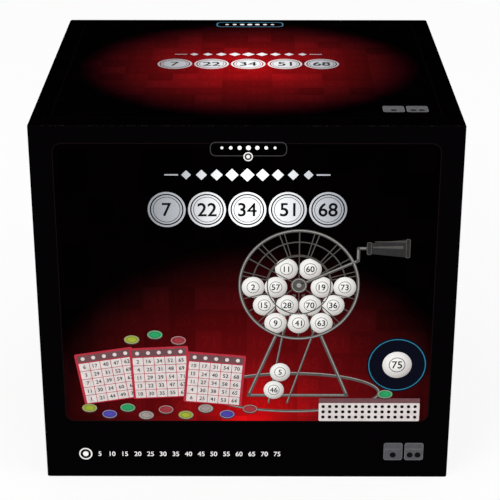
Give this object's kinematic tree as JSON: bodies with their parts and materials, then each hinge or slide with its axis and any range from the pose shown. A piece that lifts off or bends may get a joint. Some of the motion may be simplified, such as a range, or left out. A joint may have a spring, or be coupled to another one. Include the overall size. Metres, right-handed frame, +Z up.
{
  "type": "boxed bingo game",
  "caption": "Closed game box with lift-off lid over a tray that holds a wire bingo cage on a stand with crank, balls, cards, calling board and chips.",
  "frame": {"origin": "on the shelf under the middle of the closed box", "axes": "+Z up, +X to the right seen from the front, and the printed front faces -Y"},
  "size_m": [0.2666, 0.2442, 0.2473],
  "materials": {
    "lid_board": "laminated greyboard, black print",
    "tray_board": "laminated greyboard, black",
    "pad_board": "plain corrugated board",
    "cage_wire": "satin black enamel on steel wire",
    "stand_wire": "satin black enamel on steel wire",
    "sheet": "satin black enamel on stamped sheet",
    "bright_steel": "bright steel",
    "grip": "gloss black plastic",
    "ball": "polished ivory plastic",
    "card": "printed card",
    "call_board": "printed board",
    "tray_plastic": "black moulded plastic",
    "chip_blue": "translucent blue",
    "chip_green": "translucent green",
    "chip_lime": "translucent yellow green",
    "chip_clear": "translucent clear grey",
    "chip_red": "translucent red"
  },
  "bodies": {
    "tray": {"tray_base": "tray_board", "floor_pad": "pad_board", "pocket_divider": "pad_board", "pocket_partition": "pad_board"},
    "lid": {"lid_shell": "lid_board"},
    "stand": {"bearing_plate_left": "sheet", "bearing_plate_right": "sheet", "called_balls": "ball", "foot_wire": "stand_wire", "front_leg_frame": "stand_wire", "number_balls": "ball", "rear_leg_frame": "stand_wire", "side_bar_left": "stand_wire", "side_bar_right": "stand_wire", "track_guide_left": "stand_wire", "track_guide_right": "stand_wire", "track_stop": "stand_wire", "track_wire_left": "stand_wire", "track_wire_right": "stand_wire"},
    "drum": {"end_ring_left_1": "cage_wire", "end_ring_left_2": "cage_wire", "end_ring_left_3": "cage_wire", "end_ring_right_1": "cage_wire", "end_ring_right_2": "cage_wire", "end_ring_right_3": "cage_wire", "hub_left": "sheet", "hub_right": "sheet", "main_ring_1": "cage_wire", "main_ring_2": "cage_wire", "main_ring_3": "cage_wire", "main_ring_4": "cage_wire", "main_ring_5": "cage_wire", "main_ring_6": "cage_wire", "rib_wire_1": "cage_wire", "rib_wire_2": "cage_wire", "rib_wire_3": "cage_wire", "rib_wire_4": "cage_wire", "rib_wire_5": "cage_wire", "rib_wire_6": "cage_wire", "axle_pin": "bright_steel", "ball_cup": "sheet", "crank_rod": "stand_wire", "grip_cap": "bright_steel"},
    "grip": {"crank_grip": "grip", "grip_ferrule": "bright_steel"},
    "cards": {"bingo_cards": "card"},
    "board": {"calling_board": "call_board"},
    "chips": {"chip_tray": "tray_plastic", "chips_blue": "chip_blue", "chips_clear": "chip_clear", "chips_green": "chip_green", "chips_lime": "chip_lime", "chips_red": "chip_red"}
  },
  "joints": [
    {"name": "lid_lift", "type": "slide", "parent": "tray", "child": "lid", "axis": [0, 0, 1], "range_m": [0, 0.34]},
    {"name": "stand_lift", "type": "slide", "parent": "tray", "child": "stand", "axis": [0, 0, 1], "range_m": [0, 0.085]},
    {"name": "cards_lift", "type": "slide", "parent": "tray", "child": "cards", "axis": [0, 0, 1], "range_m": [0, 0.085]},
    {"name": "board_lift", "type": "slide", "parent": "tray", "child": "board", "axis": [0, 0, 1], "range_m": [0, 0.085]},
    {"name": "chips_lift", "type": "slide", "parent": "tray", "child": "chips", "axis": [0, 0, 1], "range_m": [0, 0.085]},
    {"name": "drum_spin", "type": "hinge", "parent": "stand", "child": "drum", "pos_m": [-0.03287, -0.01685, 0.1521], "axis": [1, 0, 0], "continuous": true},
    {"name": "grip_spin", "type": "hinge", "parent": "drum", "child": "grip", "pos_m": [0.06513, -0.04725, 0.10869], "axis": [1, 0, 0], "continuous": true}
  ],
  "couplings": [
    {"joint": "stand_lift", "follows": "lid_lift", "ratio": 0.25},
    {"joint": "cards_lift", "follows": "lid_lift", "ratio": 0.25},
    {"joint": "board_lift", "follows": "lid_lift", "ratio": 0.25},
    {"joint": "chips_lift", "follows": "lid_lift", "ratio": 0.25}
  ]
}
